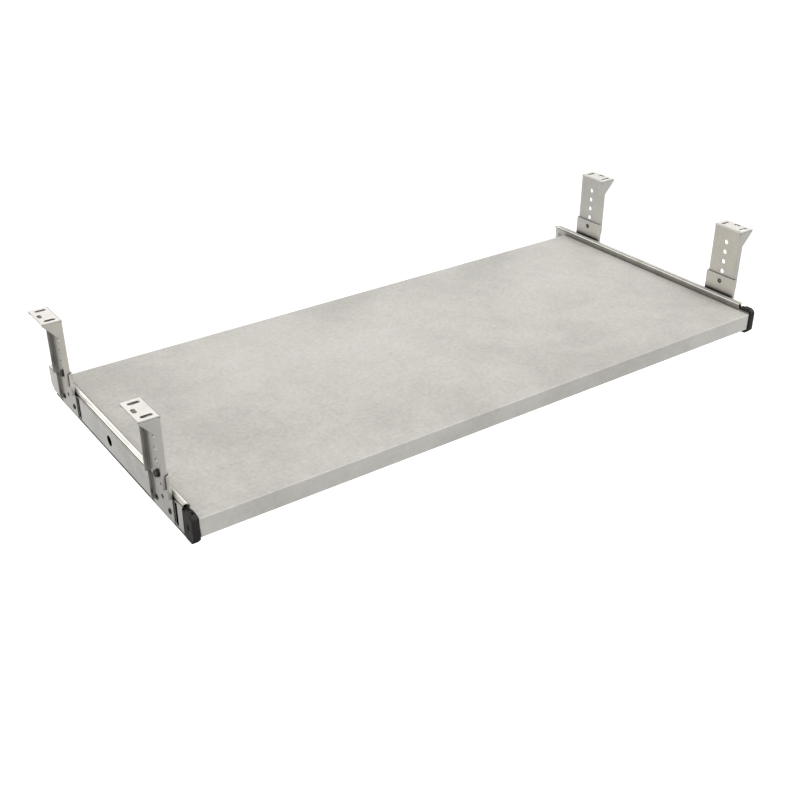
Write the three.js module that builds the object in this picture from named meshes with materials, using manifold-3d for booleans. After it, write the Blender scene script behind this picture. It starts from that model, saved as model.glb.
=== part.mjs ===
// Under-desk sliding tray: a laminated board carried by a ball-bearing slide at each end,
// hung from the underside of a desk by four height-adjustable bracket pairs.
//
// Millimetres. X runs across the desk (the left side is -X), -Y faces the user and +Z is up.
// The origin is in the plane where the bracket flanges meet the desk, midway between the four
// brackets. "Outboard" distances are measured away from the board's edge on either side.

import * as THREE from "three";
import { mergeVertices } from "three/addons/utils/BufferGeometryUtils.js";
import Module from "manifold-3d";

const wasm = await Module();
wasm.setup();

// ---------------------------------------------------------------- driving dimensions

const BOARD_WIDTH = 698;
const BOARD_DEPTH = 311;
const BOARD_THICKNESS = 19;
const BAND_THICKNESS = 1;
const LAMINATE_THICKNESS = 0.75;

const DESK_TO_BOARD = 87;
const HANGER_SPACING = 223;
const FRONT_HANGER_SETBACK = 54;

const SLIDE_HEIGHT = 35;
const SLIDE_CENTRE_DROP = 9.25;
const SLIDE_SHEET = 1.25;
const CHANNEL_DEPTH = 7.25;
const CHANNEL_SETBACK = 1;
const CHANNEL_LENGTH = 324;
const CHANNEL_CORNER = 2.75;
const LIP_OUTBOARD = 6.9;
const LIP_RUN = 2.3;
const LIP_FALL = 1.175;
const LIP_RADIUS = 4;
const FLANGE_SETBACK = 16;
const CHANNEL_HOLE_RADIUS = 2.75;
const CHANNEL_HOLE_SETBACK = 320;
const CHANNEL_HOLE_RISE = 6.5;
const RAIL_OUTER_FACE = 7.5;
const RAIL_FOLD = 14.4;
const RAIL_FOLD_RADIUS = 0.75;
const RAIL_RACE_RADIUS = 1;
const RAIL_FRONT = 17.5;
const RAIL_REAR = 335;
const RAIL_CHAMFER = 7;
const ACCESS_HOLE_RADIUS = 5.5;
const RELIEF_SLOT_OFFSET = 23.75;
const RELIEF_SLOT_WIDTH = 5;
const RELIEF_SLOT_HEIGHT = 24;

const BALL_DIAMETER = 3;
const BALLS_PER_RACE = 4;
const BALL_PITCH = 20;
const RACE_HEIGHT = 14.6;
const RACE_OUTBOARD = 3.8;
const BALL_PLAY = 0.15;
const RACE_HALF_WIDTH = 1;
const RETAINER_SHEET = 0.5;
const RETAINER_LENGTH = 84;
const RETAINER_CENTRE = 177;
const RETAINER_LIP_OUTBOARD = 5.95;
const RETAINER_BEND_RADIUS = 0.75;
const POCKET_PLAY = 0.2;

const CAP_OVERHANG = 2;
const CAP_INNER_FACE = 0.75;
const CAP_OUTER_FACE = 8;
const CAP_RISE = 14.5;
const CAP_FALL = 16;
const CAP_CORNER = 6;
const CAP_CHAMFER = 5.5;
const CAP_HOLE_SETBACK = 5;
const CAP_HOLE_RISE = 1.5;
const CAP_HOLE_RADIUS = 2.25;
const CAP_HOLE_DEPTH = 5;

const BRACKET_SHEET = 1.5;
const HANGER_WIDTH = 38.5;
const HANGER_HEIGHT = 72;
const HANGER_SIDE_DEPTH = 6;
const HANGER_TOP_DEPTH = 20;
const HANGER_TOP_LIP = 2.5;
const GUSSET_HEIGHT = 18.5;
const HEIGHT_HOLES = 5;
const HEIGHT_HOLE_PITCH = 12;
const FIRST_HEIGHT_HOLE = 17.5;
const HEIGHT_HOLE_RADIUS = 2.75;
const END_SLOT_SPACING = 26;
const END_SLOT_SETBACK = 10;
const END_SLOT_LENGTH = 11;
const END_SLOT_WIDTH = 4;
const CROSS_SLOT_SETBACK = 15.5;
const CROSS_SLOT_LENGTH = 8;
const CROSS_SLOT_WIDTH = 4;

const SADDLE_TOP_DROP = 58;
const SADDLE_SIDE_DEPTH = 4.5;
const SADDLE_WIDTH = 42;
const SADDLE_FOOT_RISE = 5;
const SADDLE_FOOT_FALL = 21;
const SADDLE_FLANGE_FALL = 16.5;

const BOLT_SHANK_RADIUS = 2.4;
const BOLT_HEAD_FLATS = 7;
const BOLT_HEAD_HEIGHT = 3;
const BOLT_END_RECESS = 0.25;
const RIVET_SPAN = 27;
const RIVET_DROP = 11.5;
const RIVET_SHANK_RADIUS = 2;
const RIVET_BORE_RADIUS = 1.25;
const RIVET_HEAD_RADIUS = 2.75;
const RIVET_HEAD_HEIGHT = 0.75;
const RIVET_RIM_HEIGHT = 0.5;
const SPARE_HOLE_RADIUS = 2.25;
const SPARE_HOLE_DROP = 3.5;

const SCREW_LENGTH = 16;
const SCREW_SHANK_RADIUS = 1.6;
const SCREW_HEAD_RADIUS = 2.9;
const SCREW_HEAD_FALL = 0.25;
const SCREW_HEAD_RECESS = 0.4;
const SCREW_SETBACKS = [40, 165, 290];
const FIT_GAP = 0.3;

// How far a cutter runs past the faces that it opens.
const OVERCUT = 1;

// ---------------------------------------------------------------- derived places

const BOARD_TOP = -DESK_TO_BOARD;
const BOARD_FRONT = -FRONT_HANGER_SETBACK - HANGER_SPACING / 2;
const SLIDE_CENTRE = BOARD_TOP - SLIDE_CENTRE_DROP;
const SADDLE_FACE = RAIL_OUTER_FACE;
const HANGER_FACE = SADDLE_FACE + BRACKET_SHEET;
const HANGER_OUTER = HANGER_FACE + BRACKET_SHEET;
const BOLT_DROP = FIRST_HEIGHT_HOLE + (HEIGHT_HOLES - 1) * HEIGHT_HOLE_PITCH;

const SIDES = [{ name: "left", sign: -1 }, { name: "right", sign: 1 }];
const STATIONS = [{ name: "front", y: -HANGER_SPACING / 2 }, { name: "rear", y: HANGER_SPACING / 2 }];

// Sides of a round hole or pin.
const FINE = 20;
const COARSE = 12;

// ---------------------------------------------------------------- materials

const standard = (color, roughness, metalness) =>
  new THREE.MeshStandardMaterial({ color, roughness, metalness });

const MATERIALS = {
  chipboard: () => standard(0xb59a74, 0.9, 0),
  laminate: () => standard(0xcbc8c1, 0.45, 0),
  band: () => standard(0xbdbab3, 0.5, 0),
  zincSteel: () => standard(0xb4b0a8, 0.35, 0.9),
  paintedSteel: () => standard(0xcfcbc4, 0.45, 0.4),
  ballSteel: () => standard(0xd8d8d8, 0.15, 1),
  darkSteel: () => standard(0x4c4a46, 0.45, 0.8),
  blackPlastic: () => standard(0x1c1b19, 0.5, 0),
};

// ---------------------------------------------------------------- solid modelling helpers

// A closed three.js geometry as a manifold solid.
function toSolid(geometry) {
  const bare = geometry.clone();
  bare.deleteAttribute("normal");
  bare.deleteAttribute("uv");
  const merged = mergeVertices(bare, 1e-4);
  const mesh = new wasm.Mesh({
    numProp: 3,
    vertProperties: new Float32Array(merged.attributes.position.array),
    triVerts: new Uint32Array(merged.index.array),
  });
  mesh.merge();
  return new wasm.Manifold(mesh);
}

// A manifold solid as a three.js geometry.
function toGeometry(solid) {
  const mesh = solid.getMesh();
  const geometry = new THREE.BufferGeometry();
  geometry.setAttribute("position", new THREE.BufferAttribute(mesh.vertProperties, 3));
  geometry.setIndex(new THREE.BufferAttribute(mesh.triVerts, 1));
  geometry.computeVertexNormals();
  return geometry;
}

const subtractAll = (solid, cutters) => cutters.reduce((rest, cutter) => rest.subtract(cutter), solid);
const addAll = (solids) => solids.reduce((whole, solid) => whole.add(solid));

// The plane each prism's outline is drawn in, and the direction that it is extruded along.
const PRISM_BASES = {
  x: new THREE.Matrix4().makeBasis(
    new THREE.Vector3(0, 1, 0), new THREE.Vector3(0, 0, 1), new THREE.Vector3(1, 0, 0)),
  y: new THREE.Matrix4().makeBasis(
    new THREE.Vector3(0, 0, 1), new THREE.Vector3(1, 0, 0), new THREE.Vector3(0, 1, 0)),
  z: new THREE.Matrix4(),
};

// An outline extruded along one axis from start to end. The outline's two coordinates are
// (y, z) for axis x, (z, x) for axis y and (x, y) for axis z.
function prism(outline, axis, start, end) {
  const shape = outline instanceof THREE.Shape ? outline : new THREE.Shape(outline);
  const geometry = new THREE.ExtrudeGeometry(shape, {
    depth: end - start,
    bevelEnabled: false,
    curveSegments: COARSE / 2,
  });
  geometry.translate(0, 0, start);
  geometry.applyMatrix4(PRISM_BASES[axis]);
  return toSolid(geometry);
}

// An axis-aligned block between two corners.
function block(low, high) {
  const size = high.map((value, axis) => value - low[axis]);
  const centre = high.map((value, axis) => (value + low[axis]) / 2);
  return toSolid(new THREE.BoxGeometry(...size).translate(...centre));
}

// A cylinder along X, centred on (y, z).
function rod(radius, xStart, xEnd, y, z, segments = COARSE) {
  const geometry = new THREE.CylinderGeometry(radius, radius, xEnd - xStart, segments);
  geometry.rotateZ(-Math.PI / 2);
  geometry.translate((xStart + xEnd) / 2, y, z);
  return toSolid(geometry);
}

const point = (a, b) => new THREE.Vector2(a, b);

// A slot with round ends, as an outline centred on (a, b) and running along its first axis.
function slotAlong(a, b, length, width) {
  const radius = width / 2;
  const reach = length / 2 - radius;
  const shape = new THREE.Shape();
  shape.absarc(a + reach, b, radius, -Math.PI / 2, Math.PI / 2);
  shape.absarc(a - reach, b, radius, Math.PI / 2, Math.PI * 1.5);
  return shape;
}

// The same slot, running along its second axis.
function slotAcross(a, b, length, width) {
  const radius = width / 2;
  const reach = length / 2 - radius;
  const shape = new THREE.Shape();
  shape.absarc(a, b + reach, radius, 0, Math.PI);
  shape.absarc(a, b - reach, radius, Math.PI, Math.PI * 2);
  return shape;
}

// The centreline of a bent sheet: straight runs joined by an arc at each inner corner.
function bentLine(corners, radii, steps = 4) {
  const line = [corners[0]];
  for (let i = 1; i < corners.length - 1; i += 1) {
    const into = corners[i].clone().sub(corners[i - 1]).normalize();
    const out = corners[i + 1].clone().sub(corners[i]).normalize();
    const turn = Math.atan2(into.cross(out), into.dot(out));
    const radius = radii[i - 1];
    const reach = radius * Math.tan(Math.abs(turn) / 2);
    const start = corners[i].clone().addScaledVector(into, -reach);
    const side = Math.sign(turn);
    const centre = start.clone().add(point(-into.y, into.x).multiplyScalar(radius * side));
    for (let step = 0; step <= steps; step += 1) {
      line.push(start.clone().rotateAround(centre, (turn * step) / steps));
    }
  }
  line.push(corners[corners.length - 1]);
  return line;
}

// The closed outline of a sheet of even thickness that follows a centreline.
function sheetOutline(line, thickness) {
  const runs = line.slice(1).map((end, i) => end.clone().sub(line[i]).normalize());
  const sides = line.map((here, i) => {
    const before = runs[Math.max(i - 1, 0)];
    const after = runs[Math.min(i, runs.length - 1)];
    const along = before.clone().add(after).normalize();
    const mitre = 1 / along.dot(after);
    return point(-along.y, along.x).multiplyScalar((mitre * thickness) / 2);
  });
  const near = line.map((here, i) => here.clone().add(sides[i]));
  const far = line.map((here, i) => here.clone().sub(sides[i]));
  return [...near, ...far.reverse()];
}

// An outline mirrored about zero on its first axis, added to itself in reverse order.
const mirrored = (corners) => [
  ...corners,
  ...corners.slice().reverse().map((corner) => point(-corner.x, corner.y)),
];

// ---------------------------------------------------------------- placing the pieces

const group = new THREE.Group();

// A right-hand geometry turned into its left-hand twin.
function reflected(geometry) {
  const twin = geometry.clone();
  twin.scale(-1, 1, 1);
  const index = twin.index.array;
  for (let i = 0; i < index.length; i += 3) {
    [index[i], index[i + 1]] = [index[i + 1], index[i]];
  }
  twin.computeVertexNormals();
  return twin;
}

// Adds a piece drawn where it lies.
function addPiece(name, solid, material) {
  const mesh = new THREE.Mesh(toGeometry(solid), MATERIALS[material]());
  mesh.name = name;
  group.add(mesh);
}

// Adds a piece drawn for the right-hand side, with x as its outboard distance, to one side.
function addSidePiece(name, solid, material, side, y) {
  const geometry = toGeometry(solid);
  const mesh = new THREE.Mesh(side.sign > 0 ? geometry : reflected(geometry), MATERIALS[material]());
  mesh.name = name;
  mesh.position.set((side.sign * BOARD_WIDTH) / 2, y, 0);
  group.add(mesh);
}

// ---------------------------------------------------------------- the board

function addBoard() {
  const halfWidth = BOARD_WIDTH / 2;
  const coreHalf = halfWidth - BAND_THICKNESS;
  const front = BOARD_FRONT;
  const rear = BOARD_FRONT + BOARD_DEPTH;
  const coreFront = front + BAND_THICKNESS;
  const coreRear = rear - BAND_THICKNESS;
  const top = BOARD_TOP;
  const bottom = BOARD_TOP - BOARD_THICKNESS;
  const coreTop = top - LAMINATE_THICKNESS;
  const coreBottom = bottom + LAMINATE_THICKNESS;

  const screwPilots = SIDES.flatMap((side) => SCREW_SETBACKS.map((y) => {
    const inner = side.sign * (halfWidth - SCREW_LENGTH - FIT_GAP);
    const outer = side.sign * (halfWidth + OVERCUT);
    const ends = [inner, outer].sort((a, b) => a - b);
    return rod(SCREW_SHANK_RADIUS + FIT_GAP, ...ends, y + front, SLIDE_CENTRE);
  }));

  const core = block([-coreHalf, coreFront, coreBottom], [coreHalf, coreRear, coreTop]);
  addPiece("board_core", subtractAll(core, screwPilots), "chipboard");
  addPiece("board_top_laminate", block([-coreHalf, coreFront, coreTop], [coreHalf, coreRear, top]),
    "laminate");
  addPiece("board_bottom_laminate",
    block([-coreHalf, coreFront, bottom], [coreHalf, coreRear, coreBottom]), "laminate");
  addPiece("edge_band_front", block([-halfWidth, front, bottom], [halfWidth, coreFront, top]), "band");
  addPiece("edge_band_rear", block([-halfWidth, coreRear, bottom], [halfWidth, rear, top]), "band");
  for (const side of SIDES) {
    const xs = [side.sign * coreHalf, side.sign * halfWidth].sort((a, b) => a - b);
    const band = block([xs[0], coreFront, bottom], [xs[1], coreRear, top]);
    addPiece(`edge_band_${side.name}`, subtractAll(band, screwPilots), "band");
  }
}

// ---------------------------------------------------------------- the ball-bearing slides

// The flared head of a countersunk screw, widened all round by a margin and open at the top.
function countersink(margin, top, y) {
  const flare = [
    point(0, -SCREW_HEAD_FALL),
    point(SCREW_SHANK_RADIUS + margin, -SCREW_HEAD_FALL),
    point(SCREW_HEAD_RADIUS + margin, SLIDE_SHEET - SCREW_HEAD_RECESS),
    point(SCREW_HEAD_RADIUS + margin, top),
    point(0, top),
  ];
  const geometry = new THREE.LatheGeometry(flare, COARSE);
  geometry.rotateZ(-Math.PI / 2);
  geometry.translate(0, y, SLIDE_CENTRE);
  return toSolid(geometry);
}

// The larger member, fixed to the board's edge. Its open side faces away from the board.
function slideChannel() {
  const crest = SLIDE_HEIGHT / 2 - SLIDE_SHEET / 2;
  const corners = mirrored([
    point(crest - LIP_FALL, LIP_OUTBOARD),
    point(crest, LIP_OUTBOARD - LIP_RUN),
    point(crest, SLIDE_SHEET / 2),
  ]);
  const line = bentLine(corners, [LIP_RADIUS, CHANNEL_CORNER, CHANNEL_CORNER, LIP_RADIUS]);
  const outline = sheetOutline(line, SLIDE_SHEET).map((p) => point(p.x + SLIDE_CENTRE, p.y));
  const full = prism(outline, "y", CHANNEL_SETBACK, CHANNEL_SETBACK + CHANNEL_LENGTH);
  const frontNotch = block(
    [SLIDE_SHEET, 0, SLIDE_CENTRE - SLIDE_HEIGHT],
    [CHANNEL_DEPTH + OVERCUT, FLANGE_SETBACK, SLIDE_CENTRE + SLIDE_HEIGHT]);
  const screwHoles = SCREW_SETBACKS.map((y) => countersink(FIT_GAP, SLIDE_SHEET + OVERCUT, y));
  const rearHole = rod(CHANNEL_HOLE_RADIUS, -OVERCUT, SLIDE_SHEET + OVERCUT,
    CHANNEL_HOLE_SETBACK, SLIDE_CENTRE + CHANNEL_HOLE_RISE);
  return subtractAll(full, [frontNotch, ...screwHoles, rearHole]);
}

// The smaller member, fixed to the brackets. Its web closes the channel's open side.
function slideRail() {
  const race = RACE_HEIGHT - BALL_DIAMETER / 2 - BALL_PLAY - SLIDE_SHEET / 2;
  const corners = mirrored([
    point(race, RACE_OUTBOARD - RACE_HALF_WIDTH),
    point(race, RACE_OUTBOARD + RACE_HALF_WIDTH),
    point(RAIL_FOLD, RAIL_OUTER_FACE - SLIDE_SHEET / 2),
  ]);
  const line = bentLine(corners,
    [RAIL_RACE_RADIUS, RAIL_FOLD_RADIUS, RAIL_FOLD_RADIUS, RAIL_RACE_RADIUS]);
  const outline = sheetOutline(line, SLIDE_SHEET).map((p) => point(p.x + SLIDE_CENTRE, p.y));
  const full = prism(outline, "y", RAIL_FRONT, RAIL_REAR);

  const bottom = SLIDE_CENTRE - RAIL_FOLD;
  const outermost = RAIL_OUTER_FACE + OVERCUT;
  const webInner = RAIL_OUTER_FACE - SLIDE_SHEET - OVERCUT;
  const chamfer = prism([
    point(RAIL_REAR - RAIL_CHAMFER, bottom - OVERCUT),
    point(RAIL_REAR + OVERCUT, bottom - OVERCUT),
    point(RAIL_REAR + OVERCUT, bottom + RAIL_CHAMFER + OVERCUT),
  ], "x", 0, outermost);
  const accessHole = rod(ACCESS_HOLE_RADIUS, webInner, outermost, RETAINER_CENTRE, SLIDE_CENTRE, FINE);
  const stationCuts = STATIONS.flatMap((station) => {
    const y = station.y - BOARD_FRONT;
    const rivets = [-1, 1].map((end) => rod(RIVET_SHANK_RADIUS + FIT_GAP, webInner, outermost,
      y + (end * RIVET_SPAN) / 2, BOARD_TOP - RIVET_DROP));
    const spare = rod(SPARE_HOLE_RADIUS, webInner, outermost, y, BOARD_TOP - SPARE_HOLE_DROP);
    const slotMiddle = y - RELIEF_SLOT_OFFSET;
    const reliefSlot = block(
      [webInner, slotMiddle - RELIEF_SLOT_WIDTH / 2, SLIDE_CENTRE - RELIEF_SLOT_HEIGHT / 2],
      [outermost, slotMiddle + RELIEF_SLOT_WIDTH / 2, SLIDE_CENTRE + RELIEF_SLOT_HEIGHT / 2]);
    return [...rivets, spare, reliefSlot];
  });
  return subtractAll(full, [chamfer, accessHole, ...stationCuts]);
}

const ballPlaces = () => Array.from({ length: BALLS_PER_RACE }, (_, i) =>
  RETAINER_CENTRE + (i - (BALLS_PER_RACE - 1) / 2) * BALL_PITCH);

// The cage that spaces the balls. It travels half as far as the tray.
function ballRetainer() {
  const web = SLIDE_SHEET + FIT_GAP + RETAINER_SHEET / 2;
  const corners = mirrored([point(RACE_HEIGHT, RETAINER_LIP_OUTBOARD), point(RACE_HEIGHT, web)]);
  const line = bentLine(corners, [RETAINER_BEND_RADIUS, RETAINER_BEND_RADIUS], 3);
  const outline = sheetOutline(line, RETAINER_SHEET).map((p) => point(p.x + SLIDE_CENTRE, p.y));
  const start = RETAINER_CENTRE - RETAINER_LENGTH / 2;
  const full = prism(outline, "y", start, start + RETAINER_LENGTH);
  const pockets = ballPlaces().map((y) => {
    const pocketRadius = BALL_DIAMETER / 2 + POCKET_PLAY;
    const pocket = new THREE.CylinderGeometry(pocketRadius, pocketRadius, SLIDE_HEIGHT, COARSE);
    pocket.rotateX(Math.PI / 2);
    pocket.translate(RACE_OUTBOARD, y, SLIDE_CENTRE);
    return toSolid(pocket);
  });
  return subtractAll(full, pockets);
}

function raceBall(y, z) {
  const ball = new THREE.SphereGeometry(BALL_DIAMETER / 2, 8, 6);
  ball.translate(RACE_OUTBOARD, y, z);
  return toSolid(ball);
}

function channelScrew(y) {
  const shank = rod(SCREW_SHANK_RADIUS, -SCREW_LENGTH, 0, y, SLIDE_CENTRE);
  return shank.add(countersink(0, SLIDE_SHEET, y));
}

// The moulded cap that closes the front of the channel and covers its cut-back flanges.
function frontCap() {
  const front = -CAP_OVERHANG;
  const rear = FLANGE_SETBACK - FIT_GAP;
  const top = SLIDE_CENTRE + CAP_RISE;
  const bottom = SLIDE_CENTRE - CAP_FALL;
  const side = new THREE.Shape();
  side.moveTo(rear, bottom);
  side.lineTo(rear, top);
  side.lineTo(front + CAP_CORNER, top);
  side.absarc(front + CAP_CORNER, top - CAP_CORNER, CAP_CORNER, Math.PI / 2, Math.PI, false);
  side.lineTo(front, bottom + CAP_CHAMFER);
  side.lineTo(front + CAP_CHAMFER, bottom);
  side.closePath();
  const body = prism(side, "x", CAP_INNER_FACE, CAP_OUTER_FACE);
  const webRoom = block([0, CHANNEL_SETBACK - FIT_GAP, bottom - OVERCUT],
    [SLIDE_SHEET + FIT_GAP, FLANGE_SETBACK + OVERCUT, top + OVERCUT]);
  const sideHole = rod(CAP_HOLE_RADIUS, CAP_OUTER_FACE - CAP_HOLE_DEPTH, CAP_OUTER_FACE + OVERCUT,
    CAP_HOLE_SETBACK, SLIDE_CENTRE + CAP_HOLE_RISE);
  return subtractAll(body, [webRoom, sideHole]);
}

function addSlides() {
  const races = [{ name: "top", z: SLIDE_CENTRE + RACE_HEIGHT },
    { name: "bottom", z: SLIDE_CENTRE - RACE_HEIGHT }];
  for (const side of SIDES) {
    const place = (name, solid, material) =>
      addSidePiece(`${name}_${side.name}`, solid, material, side, BOARD_FRONT);
    place("slide_channel", slideChannel(), "zincSteel");
    place("slide_rail", slideRail(), "zincSteel");
    place("ball_retainer", ballRetainer(), "zincSteel");
    place("front_cap", frontCap(), "blackPlastic");
    SCREW_SETBACKS.forEach((y, i) => place(`channel_screw_${i + 1}`, channelScrew(y), "darkSteel"));
    for (const race of races) {
      ballPlaces().forEach((y, i) =>
        place(`ball_${race.name}_${i + 1}`, raceBall(y, race.z), "ballSteel"));
    }
  }
}

// ---------------------------------------------------------------- the hanging brackets

// The upper bracket: a channel with a row of height holes and a slotted flange for the desk.
function hanger() {
  const half = HANGER_WIDTH / 2;
  const tip = HANGER_FACE + HANGER_TOP_DEPTH;
  const sideEdge = HANGER_FACE + HANGER_SIDE_DEPTH;
  const web = block([HANGER_FACE, -half, -HANGER_HEIGHT], [HANGER_OUTER, half, 0]);
  const topPlate = block([HANGER_FACE, -half, -BRACKET_SHEET], [tip, half, 0]);
  const cheek = [
    point(0, HANGER_FACE),
    point(0, tip),
    point(-HANGER_TOP_LIP, tip),
    point(-GUSSET_HEIGHT, sideEdge),
    point(-HANGER_HEIGHT, sideEdge),
    point(-HANGER_HEIGHT, HANGER_FACE),
  ];
  const cheeks = [
    prism(cheek, "y", -half, -half + BRACKET_SHEET),
    prism(cheek, "y", half - BRACKET_SHEET, half),
  ];
  const heightHoles = Array.from({ length: HEIGHT_HOLES }, (_, i) =>
    rod(HEIGHT_HOLE_RADIUS, HANGER_FACE - OVERCUT, HANGER_OUTER + OVERCUT, 0,
      -FIRST_HEIGHT_HOLE - i * HEIGHT_HOLE_PITCH));
  const endSlots = [-1, 1].map((end) => slotAlong(HANGER_FACE + END_SLOT_SETBACK,
    (end * END_SLOT_SPACING) / 2, END_SLOT_LENGTH, END_SLOT_WIDTH));
  const crossSlot = slotAcross(HANGER_FACE + CROSS_SLOT_SETBACK, 0, CROSS_SLOT_LENGTH, CROSS_SLOT_WIDTH);
  const deskSlots = [...endSlots, crossSlot].map((slot) =>
    prism(slot, "z", -BRACKET_SHEET - OVERCUT, OVERCUT));
  return subtractAll(addAll([web, topPlate, ...cheeks]), [...heightHoles, ...deskSlots]);
}

// The lower bracket: it wraps the upper one, and its foot is riveted to the slide rail.
function saddle() {
  const half = SADDLE_WIDTH / 2;
  const top = -SADDLE_TOP_DROP;
  const footTop = BOARD_TOP + SADDLE_FOOT_RISE;
  const footBottom = BOARD_TOP - SADDLE_FOOT_FALL;
  const flangeBottom = BOARD_TOP - SADDLE_FLANGE_FALL;
  const outer = SADDLE_FACE + SADDLE_SIDE_DEPTH;
  const solids = [
    block([SADDLE_FACE, -half, footBottom], [HANGER_FACE, half, top]),
    block([SADDLE_FACE, -half, footTop], [outer, -half + BRACKET_SHEET, top]),
    block([SADDLE_FACE, half - BRACKET_SHEET, flangeBottom], [outer, half, top]),
  ];
  const hole = (radius, y, z) =>
    rod(radius, SADDLE_FACE - OVERCUT, HANGER_FACE + OVERCUT, y, z);
  const rivetHoles = [-1, 1].map((end) =>
    hole(RIVET_SHANK_RADIUS + FIT_GAP, (end * RIVET_SPAN) / 2, BOARD_TOP - RIVET_DROP));
  const boltHole = hole(HEIGHT_HOLE_RADIUS, 0, -BOLT_DROP);
  const spareHole = hole(SPARE_HOLE_RADIUS, 0, BOARD_TOP - SPARE_HOLE_DROP);
  return subtractAll(addAll(solids), [boltHole, ...rivetHoles, spareHole]);
}

// A hex-headed bolt whose end stops just short of the lower bracket's inner face.
function hexBolt() {
  const cornerRadius = BOLT_HEAD_FLATS / Math.sqrt(3);
  const headTop = HANGER_OUTER + BOLT_HEAD_HEIGHT;
  const head = rod(cornerRadius, HANGER_OUTER, headTop, 0, -BOLT_DROP, 6);
  const shank = rod(BOLT_SHANK_RADIUS, SADDLE_FACE + BOLT_END_RECESS, headTop - OVERCUT, 0, -BOLT_DROP);
  return head.add(shank);
}

// A tubular rivet with a head outside the bracket and an upset rim inside the rail.
function rivet(y) {
  const railInner = RAIL_OUTER_FACE - SLIDE_SHEET;
  const z = BOARD_TOP - RIVET_DROP;
  const rimEnd = railInner - RIVET_RIM_HEIGHT;
  const headEnd = HANGER_FACE + RIVET_HEAD_HEIGHT;
  const shank = rod(RIVET_SHANK_RADIUS, rimEnd, headEnd, y, z);
  const head = rod(RIVET_HEAD_RADIUS, HANGER_FACE, headEnd, y, z);
  const rim = rod(RIVET_HEAD_RADIUS, rimEnd, railInner, y, z);
  const bore = rod(RIVET_BORE_RADIUS, rimEnd - OVERCUT, headEnd + OVERCUT, y, z);
  return addAll([shank, head, rim]).subtract(bore);
}

function addBrackets() {
  for (const side of SIDES) {
    for (const station of STATIONS) {
      const place = (name, solid, material) =>
        addSidePiece(`${name}_${side.name}_${station.name}`, solid, material, side, station.y);
      place("upper_bracket", hanger(), "paintedSteel");
      place("lower_bracket", saddle(), "paintedSteel");
      place("height_bolt", hexBolt(), "darkSteel");
      place("rivet_fore", rivet(-RIVET_SPAN / 2), "darkSteel");
      place("rivet_aft", rivet(RIVET_SPAN / 2), "darkSteel");
    }
  }
}

addBoard();
addSlides();
addBrackets();

export default group;
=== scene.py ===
"""An under-desk sliding tray: a concrete-look board on ball-bearing slides, hung by steel brackets.

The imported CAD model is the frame. Sheet-metal pieces are made the way they are stamped: a flat
blank is cut to an outline with holes, its edges are rounded, and it is folded along a path.
Lengths in the making are millimetres. "Outboard" is the distance out from the board's side edge.
"""
import bisect
import math

import bmesh
import bpy
from mathutils import Matrix, Vector


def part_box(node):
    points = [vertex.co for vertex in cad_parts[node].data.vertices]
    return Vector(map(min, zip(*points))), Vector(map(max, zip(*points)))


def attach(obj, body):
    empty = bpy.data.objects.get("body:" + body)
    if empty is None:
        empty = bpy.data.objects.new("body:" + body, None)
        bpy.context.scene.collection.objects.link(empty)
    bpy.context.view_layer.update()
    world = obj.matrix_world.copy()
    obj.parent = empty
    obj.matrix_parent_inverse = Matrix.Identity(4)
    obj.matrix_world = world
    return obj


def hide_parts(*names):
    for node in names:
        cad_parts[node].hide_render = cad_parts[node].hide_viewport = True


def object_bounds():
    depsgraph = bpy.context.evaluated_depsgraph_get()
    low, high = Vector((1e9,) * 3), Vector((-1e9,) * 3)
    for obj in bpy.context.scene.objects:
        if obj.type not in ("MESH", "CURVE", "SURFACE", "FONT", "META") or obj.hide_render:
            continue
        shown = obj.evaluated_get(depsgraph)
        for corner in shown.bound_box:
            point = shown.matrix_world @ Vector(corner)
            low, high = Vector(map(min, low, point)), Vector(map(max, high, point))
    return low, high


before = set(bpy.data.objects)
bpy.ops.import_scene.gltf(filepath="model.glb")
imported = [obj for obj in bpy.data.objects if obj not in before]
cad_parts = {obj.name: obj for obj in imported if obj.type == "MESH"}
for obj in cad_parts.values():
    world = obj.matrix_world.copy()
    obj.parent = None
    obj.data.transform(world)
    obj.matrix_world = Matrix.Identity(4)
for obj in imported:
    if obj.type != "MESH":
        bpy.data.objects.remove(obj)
cad_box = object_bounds()

MM = 0.001
SIDES = ("left", "right")
STATIONS = ("front", "rear")
RACES = ("top", "bottom")
BALLS = (1, 2, 3, 4)
SCREWS = (1, 2, 3)

# ------------------------------------------------------------------ sizes that the frame doesn't hold

SLIDE_SHEET = 1.25
SHEET_CORNER = 0.6
CHANNEL_BEND = 2.75
CHANNEL_LIP_BEND = 4
CHANNEL_LIP_RUN = 2.3
CHANNEL_LIP_FALL = 1.175
CHANNEL_LIP_SETBACK = 0.3
CHANNEL_FLANGE_SETBACK = 15
CHANNEL_TONGUE = 21
CHANNEL_HOLE_RADIUS = 2.75
CHANNEL_HOLE_INSET = 5
CHANNEL_HOLE_RISE = 6.5
RAIL_RACE_BEND = 1
RAIL_FOLD_BEND = 0.75
RAIL_FOLD_TURN = 135
RAIL_LIP_HALF_WIDTH = 1
RAIL_RACE_CLEARANCE = 0.775
RAIL_CHAMFER = 7
ACCESS_HOLE_RADIUS = 5.5
RELIEF_SLOT_OFFSET = 23.75
RELIEF_SLOT_SIZE = (5, 24)
RETAINER_SHEET = 0.5
RETAINER_BEND = 0.75
POCKET_PLAY = 0.2

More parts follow.
